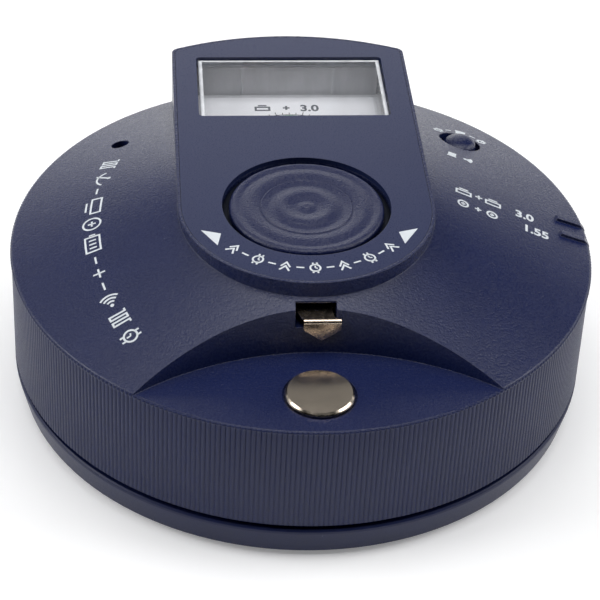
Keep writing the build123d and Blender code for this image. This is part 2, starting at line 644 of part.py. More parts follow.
def moving_coil():
    """Frame that hangs round the core, in the gap inside the magnet."""
    x, y = PIVOT
    outer = block(x - 5.3, x + 5.3, y - 1.3, y + 1.3, 21.4, 28.6)
    frame = outer - block(x - 4.5, x + 4.5, y - 2, y + 2, 22.0, 28.0)
    return turned(frame, NEEDLE_REST)


def meter_spindle():
    x, y = PIVOT
    lower = rod(x, y, 0.4, 20.7, 21.4)
    upper = rod(x, y, 0.4, 28.6, 33.7)
    return joined([lower, upper])


def hairspring():
    """Flat spiral above the coil; its outer end is held by a stud on the bridge."""
    x, y = PIVOT
    rings = []
    for i in range(4):
        r = 1.3 + 0.7 * i
        rings.append(tube(x, y, r + 0.12, r - 0.12, 29.6, 29.9))
    rings.append(block(x + 0.4, x + 3.4, y - 0.15, y + 0.15, 29.6, 29.9))
    return joined(rings)


def pointer():
    """Needle with a hub and two short balance arms."""
    x, y = PIVOT
    low, high = NEEDLE_Z, NEEDLE_Z + 0.3
    hub = rod(x, y, 1.2, low - 0.2, high + 0.15)
    needle = slab([(x - 0.45, y), (x + 0.45, y), (x + 0.16, y + NEEDLE_L), (x - 0.16, y + NEEDLE_L)],
                  low, high)
    arms = block(x - 3.4, x + 3.4, y - 0.3, y + 0.3, low - 0.1, high)
    tail = block(x - 0.3, x + 0.3, y - 4.4, y, low - 0.1, high)
    tail = tail + rod(x, y - 4.2, 0.8, low - 0.2, high + 0.1)
    whole = hub + needle + arms + tail - rod(x, y, 0.4, 30, 34)
    return turned(whole, NEEDLE_REST)


def meter_terminals():
    pins = []
    for x in (-6.0, 6.0):
        pin = rod(x, 20.0, 0.7, 16.5, METER_Z0) + rod(x, 20.0, 1.4, METER_Z0 - 0.6, METER_Z0)
        pins.append(pin)
    return joined(pins)


def battery_9v():
    body = block(CELL_X0, CELL_X0 + CELL_L, CELL_Y - CELL_W / 2, CELL_Y + CELL_W / 2,
                 CELL_Z, CELL_Z + CELL_H)
    return fillet(body.edges().filter_by(Axis.X), 2.0)


def battery_terminals():
    x1 = CELL_X0
    z = CELL_Z + CELL_H / 2
    ring = rod_x(CELL_Y + 6.35, z, 3.6, x1 - 2.1, x1) - rod_x(CELL_Y + 6.35, z, 2.9, x1 - 3, x1 - 0.4)
    return joined([rod_x(CELL_Y - 6.35, z, 2.8, x1 - 2.1, x1), ring])


def snap_cap():
    """Moulded cap pressed on the battery terminals."""
    x1 = CELL_X0
    z = CELL_Z + CELL_H / 2
    cap = block(x1 - 5.2, x1 - 0.1, CELL_Y - 12.4, CELL_Y + 12.4, z - 5.6, z + 5.6)
    cap = fillet(cap.edges().filter_by(Axis.X), 2.5)
    for dy in (-6.35, 6.35):
        cap = cap - rod_x(CELL_Y + dy, z, 3.65, x1 - 2.6, x1 + 1)
    return cap


def battery_leads():
    """Red and black leads from the cap up to the board's underside."""
    x = CELL_X0 - 5.2
    z = CELL_Z + CELL_H / 2
    leads = []
    for dy in (-3.0, 3.0):
        points = [(x, CELL_Y + dy, z), (x - 3.6, CELL_Y + dy, z), (x - 3.6, CELL_Y + dy, BOARD_Z)]
        leads.append(wire(points, 1.8, 0.6))
    return joined(leads)


def meter_leads():
    """Two leads from the meter's terminals to the rear edge of the board."""
    leads = []
    for x in (-6.0, 6.0):
        points = [(x, 19.3, 17.2), (x, 16.0, 17.2), (x, 12.2, 20.0), (x, 12.2, BOARD_Z)]
        leads.append(wire(points, 1.2, 0.5))
    return joined(leads)


def disc_lead():
    """Lead from the contact disc's nut to the front edge of the board."""
    return rod_y(0, 24.8, 0.6, DISC_Y + 3.2, -28.0)


NODES = {
    "base_tray": base_tray, "battery_door": battery_door, "door_pin": door_pin,
    "rubber_feet": rubber_feet, "case_screws": case_screws, "top_case": top_case,
    "fascia": fascia, "sensor_pad": sensor_pad, "pad_foam_ring": pad_foam_ring,
    "coil_bobbin": coil_bobbin, "coil_winding": coil_winding, "ferrite_core": ferrite_core,
    "main_board": main_board, "board_screws": board_screws, "ic_chip": ic_chip,
    "resistors": resistors, "capacitors": capacitors, "trimmer": trimmer,
    "transistor": transistor, "meter_cover": meter_cover, "meter_body": meter_body,
    "scale_plate": scale_plate, "meter_magnet": meter_magnet, "meter_core": meter_core,
    "meter_bridge": meter_bridge, "pivot_jewels": pivot_jewels, "moving_coil": moving_coil,
    "meter_spindle": meter_spindle, "hairspring": hairspring, "pointer": pointer,
    "meter_terminals": meter_terminals, "test_button": test_button, "tact_plunger": tact_plunger,
    "tact_switch": tact_switch, "selector_knob": selector_knob, "selector_switch": selector_switch,
    "buzzer_case": buzzer_case, "piezo_disc": piezo_disc, "battery_9v": battery_9v,
    "battery_terminals": battery_terminals, "snap_cap": snap_cap, "battery_leads": battery_leads,
    "meter_leads": meter_leads,
    "contact_disc": contact_disc, "disc_washer": disc_washer, "disc_nut": disc_nut,
    "disc_lead": disc_lead, "arm_guide": arm_guide, "guide_screws": guide_screws,
    "arm_slider": arm_slider, "arm_pin": arm_pin, "contact_arm": contact_arm,
}

os.makedirs("parts", exist_ok=True)
for name, make in NODES.items():
    export_step(make(), f"parts/{name}.step")
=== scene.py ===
"""Looks of a bench tester for quartz watches and coin cells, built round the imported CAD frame."""
import json
import math

import bpy
from mathutils import Matrix, Vector
from mathutils.bvhtree import BVHTree


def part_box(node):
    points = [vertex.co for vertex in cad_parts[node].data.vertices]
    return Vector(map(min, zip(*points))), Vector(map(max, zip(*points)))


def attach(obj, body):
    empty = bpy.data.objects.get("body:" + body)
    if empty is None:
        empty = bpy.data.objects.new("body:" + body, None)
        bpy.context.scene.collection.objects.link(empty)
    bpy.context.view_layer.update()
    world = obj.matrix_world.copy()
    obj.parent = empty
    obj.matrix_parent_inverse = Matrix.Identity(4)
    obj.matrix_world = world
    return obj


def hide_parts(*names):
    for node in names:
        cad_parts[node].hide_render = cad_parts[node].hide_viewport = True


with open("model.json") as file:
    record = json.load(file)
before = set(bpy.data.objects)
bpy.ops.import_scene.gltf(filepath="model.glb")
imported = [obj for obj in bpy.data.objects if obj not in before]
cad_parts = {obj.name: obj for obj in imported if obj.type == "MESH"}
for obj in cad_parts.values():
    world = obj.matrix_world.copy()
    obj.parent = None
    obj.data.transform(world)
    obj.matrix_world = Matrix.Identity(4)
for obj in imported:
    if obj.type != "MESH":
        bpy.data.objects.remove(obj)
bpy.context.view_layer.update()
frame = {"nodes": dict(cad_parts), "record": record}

MM = 0.001
NODES = frame["nodes"]
CASE = "case"


def box_mm(node):
    low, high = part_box(node)
    return low / MM, high / MM


# ---- places taken from the frame, in mm ----
CASE_LOW, CASE_HIGH = box_mm("top_case")
RIM_R = -CASE_LOW.x                       # the left side carries no raised marks
PLAT_TOP = CASE_HIGH.z
PAD_LOW, PAD_HIGH = box_mm("sensor_pad")
PAD_R = (PAD_HIGH.x - PAD_LOW.x) / 2
WELL_Y = (PAD_HIGH.y + PAD_LOW.y) / 2
WELL_R = 14.8                             # the well's wall, round the pad
WELL_FLOOR = box_mm("pad_foam_ring")[0].z
BUTTON_LOW, BUTTON_HIGH = box_mm("test_button")
BUTTON_X = (BUTTON_LOW.x + BUTTON_HIGH.x) / 2
BUTTON_Y = (BUTTON_LOW.y + BUTTON_HIGH.y) / 2
DIAL_HIGH = box_mm("scale_plate")[1]
SPINDLE_LOW, SPINDLE_HIGH = box_mm("meter_spindle")
DIAL_CENTRE = ((SPINDLE_LOW + SPINDLE_HIGH) / 2).xy
COVER_WALL_X = (16.7, 16.9)               # the clear cover turns into side wall between these
COVER_WALL_Y = (42.7, 42.9)               # and into rear wall between these
COVER_SHEEN_Z = (38.0, 39.6)               # its walls get a painted sheen, whiter and more opaque towards their tops, between these
BUTTON_CAP_R = 3.1
BUTTON_FLANGE_R = 4.5
BUTTON_STEM_R = 1.6


# ---------------------------------------------------------------- camera
def make_camera():
    """Pinhole camera in front of the tester and above it, with a slight roll."""
    place = Vector((-29.35, -295.85, 245.37)) * MM
    target = Vector((0.70, 4.92, 11.2)) * MM
    roll = math.radians(2.848)
    forward = (target - place).normalized()
    level = forward.cross(Vector((0, 0, 1))).normalized()
    upright = level.cross(forward)
    right = math.cos(roll) * level + math.sin(roll) * upright
    up = math.cos(roll) * upright - math.sin(roll) * level
    data = bpy.data.cameras.new("camera")
    data.sensor_width = 36.0
    data.lens = 122.34
    data.clip_start = 0.01
    camera = bpy.data.objects.new("camera", data)
    turn = Matrix((right, up, -forward)).transposed().to_4x4()
    camera.matrix_world = Matrix.Translation(place) @ turn
    bpy.context.scene.collection.objects.link(camera)
    bpy.context.scene.camera = camera


make_camera()


# ---------------------------------------------------------------- node helpers
def new_material(name):
    material = bpy.data.materials.new(name)
    material.use_nodes = True
    nodes = material.node_tree.nodes
    nodes.clear()
    output = nodes.new("ShaderNodeOutputMaterial")
    shader = nodes.new("ShaderNodeBsdfPrincipled")
    material.node_tree.links.new(shader.outputs["BSDF"], output.inputs["Surface"])
    return material, shader


class Tree:
    """Short ways to add and link nodes in one material."""

    def __init__(self, material):
        self.nodes = material.node_tree.nodes
        self.links = material.node_tree.links
        coordinates = self.nodes.new("ShaderNodeTexCoord")
        mapping = self.nodes.new("ShaderNodeMapping")
        mapping.inputs["Scale"].default_value = (1 / MM, 1 / MM, 1 / MM)
        self.links.new(coordinates.outputs["Object"], mapping.inputs["Vector"])
        self.mm = mapping.outputs["Vector"]

    def noise(self, size_mm, detail=2.0, roughness=0.5, stretch=None):
        node = self.nodes.new("ShaderNodeTexNoise")
        node.inputs["Scale"].default_value = 1 / size_mm
        node.inputs["Detail"].default_value = detail
        node.inputs["Roughness"].default_value = roughness
        vector = self.mm
        if stretch:
            mapping = self.nodes.new("ShaderNodeMapping")
            mapping.inputs["Scale"].default_value = stretch
            self.links.new(self.mm, mapping.inputs["Vector"])
            vector = mapping.outputs["Vector"]
        self.links.new(vector, node.inputs["Vector"])
        return node.outputs["Fac"]

    def voronoi(self, size_mm):
        node = self.nodes.new("ShaderNodeTexVoronoi")
        node.inputs["Scale"].default_value = 1 / size_mm
        self.links.new(self.mm, node.inputs["Vector"])
        return node.outputs["Distance"]

    def ramp(self, value, stops):
        node = self.nodes.new("ShaderNodeValToRGB")
        elements = node.color_ramp.elements
        while len(elements) < len(stops):
            elements.new(0.5)
        for element, (position, colour) in zip(elements, stops):
            element.position = position
            element.color = (*colour, 1)
        self.links.new(value, node.inputs["Fac"])
        return node.outputs["Color"]

    def spread(self, value, low, high, start=0.3, stop=0.7):
        node = self.nodes.new("ShaderNodeMapRange")
        node.inputs["From Min"].default_value = start
        node.inputs["From Max"].default_value = stop
        node.inputs["To Min"].default_value = low
        node.inputs["To Max"].default_value = high
        self.links.new(value, node.inputs["Value"])
        return node.outputs["Result"]

    def mix(self, factor, first, second):
        node = self.nodes.new("ShaderNodeMix")
        node.data_type = "RGBA"
        self.links.new(factor, node.inputs["Factor"])
        for name, value in (("A", first), ("B", second)):
            socket = [s for s in node.inputs if s.name == name and s.type == "RGBA"][0]
            if isinstance(value, tuple):
                socket.default_value = (*value, 1)
            else:
                self.links.new(value, socket)
        return [s for s in node.outputs if s.type == "RGBA"][0]

    def bump(self, height, depth_mm, strength=1.0, below=None):
        node = self.nodes.new("ShaderNodeBump")
        node.inputs["Distance"].default_value = depth_mm * MM
        node.inputs["Strength"].default_value = strength
        self.links.new(height, node.inputs["Height"])
        if below is not None:
            self.links.new(below, node.inputs["Normal"])
        return node.outputs["Normal"]

    def product(self, first, second):
        node = self.nodes.new("ShaderNodeMath")
        node.operation = "MULTIPLY"
        self.links.new(first, node.inputs[0])
        self.links.new(second, node.inputs[1])
        return node.outputs["Value"]

    def largest(self, first, second):
        node = self.nodes.new("ShaderNodeMath")
        node.operation = "MAXIMUM"
        self.links.new(first, node.inputs[0])
        self.links.new(second, node.inputs[1])
        return node.outputs["Value"]

    def rounded(self, radius_mm):
        node = self.nodes.new("ShaderNodeBevel")
        node.samples = 6
        node.inputs["Radius"].default_value = radius_mm * MM
        return node.outputs["Normal"]

    def link(self, value, socket):
        self.links.new(value, socket)


def darker(colour, factor):
    return tuple(c * factor for c in colour)


# ---------------------------------------------------------------- materials
def moulded(name, colour, roughness, grain_mm, grain_depth, variation=0.05, dust=0.0, edge_mm=0.0,
            gloss=0.42):
    """Moulded plastic or rubber: spark-eroded grain, slight mottling, optional dust and softened edges."""
    material, shader = new_material(name)
    tree = Tree(material)
    shader.inputs["Specular IOR Level"].default_value = gloss
    mottle = tree.noise(9.0, 4.0, 0.6)
    base = tree.ramp(mottle, [(0.3, darker(colour, 1 - variation)), (0.7, darker(colour, 1 + variation))])
    if dust:
        specks = tree.spread(tree.voronoi(2.6), 1.0, 0.0, 0.02, 0.05)
        patches = tree.spread(tree.noise(14.0, 2.0), 0.0, dust, 0.5, 0.68)
        base = tree.mix(tree.product(specks, patches), base, (0.30, 0.34, 0.42))
    tree.link(base, shader.inputs["Base Color"])
    fine = tree.noise(grain_mm, 2.0, 0.7)
    tree.link(tree.spread(fine, roughness - 0.06, roughness + 0.06), shader.inputs["Roughness"])
    soft = tree.rounded(edge_mm) if edge_mm else None
    tree.link(tree.bump(fine, grain_depth, below=soft), shader.inputs["Normal"])
    return material


def metal(name, colour, roughness, tarnish=0.25, scratch=0.01, blotch_mm=2.6):
    """Plated or bare metal with blotchy tarnish and fine scratches."""
    material, shader = new_material(name)
    tree = Tree(material)
    shader.inputs["Metallic"].default_value = 1.0
    blotch = tree.noise(blotch_mm, 4.0, 0.55)
    base = tree.ramp(blotch, [(0.3, darker(colour, 1 - tarnish)), (0.62, colour)])
    tree.link(base, shader.inputs["Base Color"])
    tree.link(tree.spread(tree.noise(blotch_mm * 0.6, 3.0), roughness * 0.85, roughness * 1.25),
              shader.inputs["Roughness"])
    lines = tree.noise(0.25, 2.0, 0.5, (0.12, 2.0, 1.0))
    tree.link(tree.bump(lines, scratch), shader.inputs["Normal"])
    return material


def clear_plastic():
    """Clear acrylic: faint on its faces; a painted sheen makes it whiter where it is seen edge-on and in its
    walls, most towards their tops.
    """
    material, shader = new_material("clear_plastic")
    tree = Tree(material)
    shader.inputs["IOR"].default_value = 1.49
    place = tree.nodes.new("ShaderNodeSeparateXYZ")
    tree.link(tree.mm, place.inputs["Vector"])
    side = tree.nodes.new("ShaderNodeMath")
    side.operation = "ABSOLUTE"
    tree.link(place.outputs["X"], side.inputs[0])
    walls = tree.largest(tree.spread(side.outputs["Value"], 0.0, 1.0, *COVER_WALL_X),
                         tree.spread(place.outputs["Y"], 0.0, 1.0, *COVER_WALL_Y))
    # painted sheen: the walls turn more opaque towards their tops, in streaks
    wall_sheen_by_height = tree.product(walls, tree.spread(place.outputs["Z"], 0.30, 1.0, *COVER_SHEEN_Z))
    streaks = tree.noise(2.4, 3.0, 0.6, (1.0, 1.0, 0.25))
    film_and_sheen = tree.product(wall_sheen_by_height, tree.spread(streaks, 0.55, 0.80))
    # painted reflection: more opaque where the surface is seen edge-on
    facing = tree.nodes.new("ShaderNodeLayerWeight")
    facing.inputs["Blend"].default_value = 0.3
    edge_on_sheen = tree.spread(facing.outputs["Facing"], 0.03, 0.30, 0.45, 1.0)
    tree.link(tree.largest(film_and_sheen, edge_on_sheen), shader.inputs["Alpha"])
    # painted sheen: the walls get a whiter base colour than the faces
    tree.link(tree.mix(walls, (0.55, 0.57, 0.60), (0.82, 0.84, 0.88)), shader.inputs["Base Color"])
    tree.link(tree.spread(tree.noise(6.0, 3.0), 0.04, 0.09), shader.inputs["Roughness"])
    return material


def lacquer(name, colour, roughness=0.35):
    """Smooth painted or printed surface with a slightly uneven film."""
    material, shader = new_material(name)
    tree = Tree(material)
    film_and_sheen = tree.noise(3.0, 4.0, 0.6)
    tree.link(tree.ramp(film_and_sheen, [(0.3, darker(colour, 0.94)), (0.7, colour)]), shader.inputs["Base Color"])
    tree.link(tree.spread(film_and_sheen, roughness - 0.06, roughness + 0.06), shader.inputs["Roughness"])
    tree.link(tree.bump(tree.noise(0.12, 2.0), 0.004), shader.inputs["Normal"])
    return material


def winding(name, colour):
    """Layers of fine enamelled wire, with painted shade in the grooves between the turns."""
    material, shader = new_material(name)
    tree = Tree(material)
    wave = tree.nodes.new("ShaderNodeTexWave")
    wave.bands_direction = "Z"
    wave.inputs["Scale"].default_value = 1.2
    wave.inputs["Distortion"].default_value = 0.4
    tree.link(tree.mm, wave.inputs["Vector"])
    shader.inputs["Metallic"].default_value = 0.7
    # darker at the wave's troughs, where the bump puts the grooves: painted shade between the turns
    tree.link(tree.ramp(wave.outputs["Fac"], [(0.2, darker(colour, 0.45)), (0.7, colour)]),
              shader.inputs["Base Color"])
    tree.link(tree.spread(wave.outputs["Fac"], 0.45, 0.3), shader.inputs["Roughness"])
    tree.link(tree.bump(wave.outputs["Fac"], 0.06), shader.inputs["Normal"])
    return material


NAVY = (0.0070, 0.0125, 0.0580)
# the case's navy made lighter for the platform's flat top: painted sheen where it catches the overhead light
FASCIA_NAVY_LIT = (0.0110, 0.0180, 0.0670)
PAD_NAVY = (0.0055, 0.0100, 0.0530)

MATERIALS = {
    "case_plastic": moulded("case_plastic", NAVY, 0.28, 0.42, 0.09, dust=0.6, edge_mm=0.25),
    "fascia_plastic": moulded("fascia_plastic", FASCIA_NAVY_LIT, 0.30, 0.22, 0.006, 0.02, dust=0.3, edge_mm=0.1),
    "base_plastic": moulded("base_plastic", darker(NAVY, 0.85), 0.38, 0.30, 0.010, dust=0.4, edge_mm=0.15,
                            gloss=0.24),
    "pad_rubber": moulded("pad_rubber", PAD_NAVY, 0.31, 0.36, 0.13, 0.03, dust=0.4),
    "black_rubber": moulded("black_rubber", (0.006, 0.008, 0.016), 0.6, 0.30, 0.03, gloss=0.15),
    "foam": moulded("foam", (0.007, 0.009, 0.017), 0.9, 0.5, 0.15, gloss=0.1),
    "screw_steel": metal("screw_steel", (0.62, 0.62, 0.63), 0.3),
    "nickel_plate": metal("nickel_plate", (0.80, 0.70, 0.58), 0.17, tarnish=0.10, scratch=0.0006,
                          blotch_mm=6.0),
    "arm_plate": metal("arm_plate", (0.66, 0.54, 0.43), 0.24, tarnish=0.22, scratch=0.002,
                       blotch_mm=1.6),
    "clear_plastic": clear_plastic(),
    "dial_white": lacquer("dial_white", (0.80, 0.81, 0.85)),
    "grey_plastic": moulded("grey_plastic", (0.72, 0.72, 0.76), 0.5, 0.4, 0.004),
    "magnet_alloy": moulded("magnet_alloy", (0.05, 0.05, 0.055), 0.5, 0.2, 0.03),
    "soft_iron": metal("soft_iron", (0.45, 0.45, 0.47), 0.35),
    "bright_brass": metal("bright_brass", (0.78, 0.57, 0.24), 0.25),
    "copper_wire": winding("copper_wire", (0.70, 0.26, 0.10)),
    "needle_red": lacquer("needle_red", (0.45, 0.02, 0.02), 0.5),
    "board_green": lacquer("board_green", (0.02, 0.16, 0.06), 0.3),
    "component_black": moulded("component_black", (0.018, 0.018, 0.02), 0.45, 0.2, 0.015),
    "component_tan": lacquer("component_tan", (0.55, 0.40, 0.22), 0.3),
    "component_blue": lacquer("component_blue", (0.03, 0.08, 0.35), 0.25),
    "bobbin_white": moulded("bobbin_white", (0.72, 0.70, 0.64), 0.5, 0.3, 0.01),
    "ferrite": moulded("ferrite", (0.04, 0.04, 0.045), 0.4, 0.15, 0.02),
    "battery_wrap": lacquer("battery_wrap", (0.08, 0.09, 0.11), 0.3),
    "lead_sleeve": lacquer("lead_sleeve", (0.35, 0.02, 0.02), 0.4),
    "knob_black": moulded("knob_black", (0.02, 0.02, 0.022), 0.4, 0.2, 0.01),
}
RIB_PLASTIC = moulded("rib_plastic", NAVY, 0.38, 0.30, 0.012, dust=0.7, gloss=0.24)
PRINT_WHITE = lacquer("print_white", (0.66, 0.70, 0.74), 0.5)
PRINT_GREY = lacquer("print_grey", (0.10, 0.11, 0.13), 0.5)
PRINT_BLACK = lacquer("print_black", (0.03, 0.03, 0.035), 0.5)
ZONE_GREEN = lacquer("zone_green", (0.03, 0.30, 0.08), 0.5)
ZONE_RED = lacquer("zone_red", (0.45, 0.03, 0.03), 0.5)


def paint_cad_nodes():
    """Give every CAD node the material of its slot in the record."""
    for part in frame["record"]["subparts"]:
        mesh = NODES[part["node"]].data
        mesh.materials.clear()
        mesh.materials.append(MATERIALS[part["material_slot"]])


paint_cad_nodes()


# ---------------------------------------------------------------- mesh helpers
def piece(name, verts_mm, faces, material, body=CASE, smooth=True):
    """A mesh piece from points in mm, riding on a body."""
    mesh = bpy.data.meshes.new(name)
    mesh.from_pydata([Vector(v) * MM for v in verts_mm], [], faces)
    mesh.validate()
    mesh.materials.append(material)
    mesh.polygons.foreach_set("use_smooth", [smooth] * len(mesh.polygons))
    mesh.update()
    obj = bpy.data.objects.new(name, mesh)
    bpy.context.scene.collection.objects.link(obj)
    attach(obj, body)
    return obj


def smooth_by_angle(obj, degrees=35.0):
    """Smooth shading that keeps edges sharper than the angle."""
    mesh = obj.data
    mesh.polygons.foreach_set("use_smooth", [True] * len(mesh.polygons))
    mesh.set_sharp_from_angle(angle=math.radians(degrees))


def lathe(name, profile, centre, material, segments=192, body=CASE):
    """Closed turned piece from (radius, height) points; the first and last lie on the axis."""
    verts = []
    faces = []
    rings = []
    for r, z in profile:
        if r < 1e-6:
            rings.append([len(verts)])
            verts.append((centre[0], centre[1], z))
            continue
        ring = []
        for i in range(segments):
            a = 2 * math.pi * i / segments
            ring.append(len(verts))
            verts.append((centre[0] + r * math.cos(a), centre[1] + r * math.sin(a), z))
        rings.append(ring)
    for low, high in zip(rings, rings[1:]):
        for i in range(segments):
            j = (i + 1) % segments
            if len(low) == 1:
                faces.append((low[0], high[j], high[i]))
            elif len(high) == 1:
                faces.append((low[i], low[j], high[0]))
            else:
                faces.append((low[i], low[j], high[j], high[i]))
    return piece(name, verts, faces, material, body)


def hoop(name, section, centre, material, segments=192, body=CASE):
    """Closed ring swept round a vertical axis from (radius, height) points."""
    verts = []
    faces = []
    count = len(section)
    for i in range(segments):
        a = 2 * math.pi * i / segments
        verts += [(centre[0] + r * math.cos(a), centre[1] + r * math.sin(a), z) for r, z in section]
    for i in range(segments):
        j = (i + 1) % segments
        for k in range(count):
            m = (k + 1) % count
            faces.append((i * count + k, j * count + k, j * count + m, i * count + m))
    obj = piece(name, verts, faces, material, body)
    smooth_by_angle(obj, 40)
    return obj


def smooth_profile(knots, steps=6):
    """Catmull-Rom curve through (radius, height) knots."""
    points = [knots[0]] + list(knots) + [knots[-1]]
    out = []
    for p0, p1, p2, p3 in zip(points, points[1:], points[2:], points[3:]):
        for k in range(steps):
            t = k / steps
            out.append(tuple(
                0.5 * (2 * b + (c - a) * t + (2 * a - 5 * b + 4 * c - d) * t * t
                       + (3 * b - a - 3 * c + d) * t ** 3)
                for a, b, c, d in zip(p0, p1, p2, p3)))
    out.append(knots[-1])
    return out


# ---------------------------------------------------------------- grip ribs
RIB_COUNT = 388
RIB_TOP_Z = 27.9
RIB_ROOT = (51.95, 51.7)                  # wall radius at the ribs' lower and upper ends
RIB_CREST = 0.27                          # height of the ribs over that wall
RIB_VALLEY = 0.10                         # the grooves between them stop this far above the wall
WINDOW_Y = (-4.6, 6.5)                    # the ribs stop short of the selector's window
WINDOW_Z = (17.7, 23.1)
RIB_STEPS = 8                             # points across one rib
RIM_ROWS = ((27.95, 51.76), (28.12, 51.90), (28.30, 51.88), (28.42, 51.77))   # height, base radius there
RIM_ENDS_Z = 28.2                         # the rows above this height are the ribs' rounded ends
DECK_LIFT = 0.17                          # the ends sit this much higher where the step doesn't cut the deck
STEP_SINE = 0.83                          # the step begins where a bearing's sine is minus this


def rib_root(z):
    """Wall radius under the ribs."""
    share = (z - CASE_LOW.z) / (RIB_TOP_Z - CASE_LOW.z)
    return RIB_ROOT[0] + (RIB_ROOT[1] - RIB_ROOT[0]) * share


def rib_height(step):
    """Rounded crest with a narrow groove beside it."""
    across = 2 * (step % RIB_STEPS) / RIB_STEPS - 1
    return RIB_VALLEY + (RIB_CREST - RIB_VALLEY) * (1 - abs(across) ** 3.0)


def rib_rows(z0, z1):
    """Height, base radius and fullness of the ribs at each row of a band."""
    rows = [(z0 + 0.01, rib_root(z0), 0.3), (z0 + 0.2, rib_root(z0), 1.0)]
    if z1 < RIB_TOP_Z:
        return rows + [(z1 - 0.25, rib_root(z1), 1.0), (z1, rib_root(z1), 0.75)]
    return rows + [(z1 - 0.3, rib_root(z1), 1.0)] + [(z, r, 1.0) for z, r in RIM_ROWS]


def rib_band(verts, faces, first, last, z0, z1):
    """Closed band from one angle step to another; a whole turn joins up with itself."""
    total = RIB_COUNT * RIB_STEPS
    whole = last - first == total
    rows = rib_rows(z0, z1)
    start = len(verts)
    columns = last - first if whole else last - first + 1
    height = len(rows) + 2
    for i in range(columns):
        a = 2 * math.pi * (first + i) / total
        lift = DECK_LIFT * min(1.0, max(0.0, (math.sin(a) + STEP_SINE) / 0.03))
        rib = rib_height(first + i)
        column = [(r + rib * scale, z + (lift if z > RIM_ENDS_Z else 0.0)) for z, r, scale in rows]
        column = [(rows[0][1] - 0.1, z0 + 0.01)] + column + [(rows[-1][1] - 0.1, column[-1][1])]
        verts += [(r * math.cos(a), r * math.sin(a), z) for r, z in column]
    for i in range(columns if whole else columns - 1):
        here = start + i * height
        there = start + (i + 1) % columns * height
        for k in range(height):
            m = (k + 1) % height
            faces.append((here + k, there + k, there + m, here + m))
    if not whole:
        end = start + (columns - 1) * height
        faces.append(tuple(start + k for k in range(height)))
        faces.append(tuple(end + k for k in reversed(range(height))))


def grip_ribs():
    """Fine upright ribs round the wall, with a gap at the selector's window."""
    total = RIB_COUNT * RIB_STEPS
    low, high = (round(math.asin(y / RIM_R) / (2 * math.pi) * RIB_COUNT) * RIB_STEPS for y in WINDOW_Y)
    verts = []
    faces = []
    rib_band(verts, faces, high, total + low, CASE_LOW.z, RIB_TOP_Z)
    rib_band(verts, faces, low, high, CASE_LOW.z, WINDOW_Z[0])
    rib_band(verts, faces, low, high, WINDOW_Z[1], RIB_TOP_Z)
    ribs = piece("grip_ribs", verts, faces, RIB_PLASTIC)
    smooth_by_angle(ribs, 60)


grip_ribs()


# ---------------------------------------------------------------- sensing pad
def rippled_pad():
    """Grained pad with concentric ripples round a small centre dimple."""
    top = PAD_HIGH.z
    low = PAD_LOW.z
    knots = [(0.0, -0.22), (0.6, -0.16), (1.15, -0.30), (1.9, -0.42), (2.9, -0.28), (4.0, -0.06),
             (4.9, -0.10), (5.8, -0.34), (6.6, -0.44), (7.5, -0.30), (7.95, -0.20), (8.15, -0.34),
             (8.5, -0.24), (9.4, -0.08), (10.2, -0.04), (11.0, -0.16), (11.7, -0.26), (12.4, -0.12),
             (12.9, -0.10), (13.3, -0.26), (PAD_R - 0.06, -0.55), (PAD_R, -0.85)]
    surface = [(max(r, 0.0), top + h) for r, h in smooth_profile(knots, 5)]
    surface[0] = (0.0, surface[0][1])
    underside = [(PAD_R, low + 0.2), (PAD_R - 0.2, low), (0.0, low)]
    profile = list(reversed(surface + underside))
    pad = lathe("rippled_pad", profile, (0.0, WELL_Y), MATERIALS["pad_rubber"], 256)
    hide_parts("sensor_pad")
    smooth_by_angle(pad, 60)


rippled_pad()


def ledge_shade_ring():
    """Black ring on the ledge, seen in the gap round the pad: a dark sheet that paints the shade deep in
    that gap.
    """
    low, high = WELL_FLOOR + 0.005, WELL_FLOOR + 0.16
    inner, outer = PAD_R + 0.03, WELL_R - 0.03
    section = [(inner, low), (outer, low), (outer, high - 0.05), (outer - 0.08, high),
               (inner + 0.08, high), (inner, high - 0.05)]
    # black ring in the gap round the pad: painted shade
    hoop("ledge_shade_ring", section, (0.0, WELL_Y), MATERIALS["black_rubber"])


ledge_shade_ring()


# ---------------------------------------------------------------- meter screen
def screen_highlight_beads():
    """Two half-round beads down the front of the grey screen, lighter than the screen itself: a painted
    highlight along its ribs.
    """
    face_y = DIAL_HIGH.y - 0.12           # the front of the screen's own ribs
    low, high = DIAL_HIGH.z + 0.1, PLAT_TOP - 2.5
    n = 7                                 # points across the half round
    for side, x in (("left", -8.9), ("right", 8.9)):
        verts = []
        for z, r in ((low, 0.22), (high - 0.3, 0.22), (high, 0.12)):
            for k in range(n):
                a = math.pi * k / (n - 1)
                verts.append((x + r * math.cos(a), face_y - 0.35 * r * math.sin(a), z))
        faces = [tuple(reversed(range(n))), tuple(range(2 * n, 3 * n))]
        for start in (0, n):
            for k in range(n):
                here, there = start + k, start + (k + 1) % n
                faces.append((here, there, there + n, here + n))
        # white beads on the grey ribs: painted highlight
        piece("screen_highlight_bead_" + side, verts, faces, MATERIALS["dial_white"])


screen_highlight_beads()


